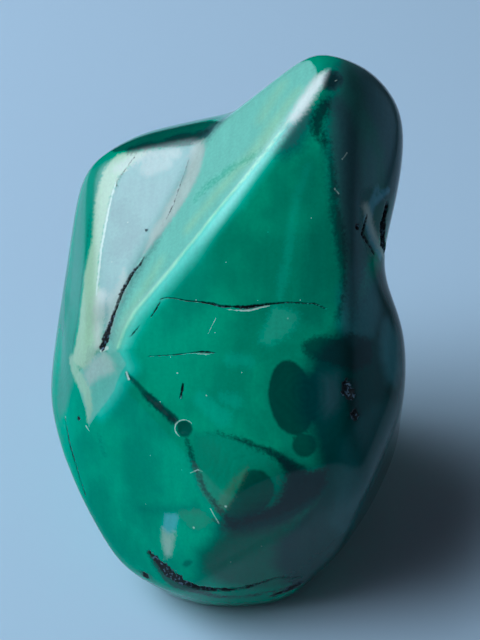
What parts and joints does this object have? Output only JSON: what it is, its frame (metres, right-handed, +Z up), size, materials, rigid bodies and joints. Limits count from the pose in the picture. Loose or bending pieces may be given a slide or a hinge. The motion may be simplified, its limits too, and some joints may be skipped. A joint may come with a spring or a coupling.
{
  "type": "polished malachite stone",
  "caption": "Polished green malachite free form with ground faces: a peak with a bright ridge, a flat shoulder, a hollow waist and fine cracks, standing on a flat foot.",
  "frame": {"origin": "middle of the stone's extent in X and Y, at the level of its flat foot", "axes": "+X to the stone's right as seen from the front, +Y to its back, +Z up; the long front slope faces -Y"},
  "size_m": [0.053, 0.0544, 0.0699],
  "materials": {
    "stone": "high polish over banded green mineral with dark cracks and pits"
  },
  "bodies": {
    "root": {"stone": "stone"}
  },
  "joints": []
}
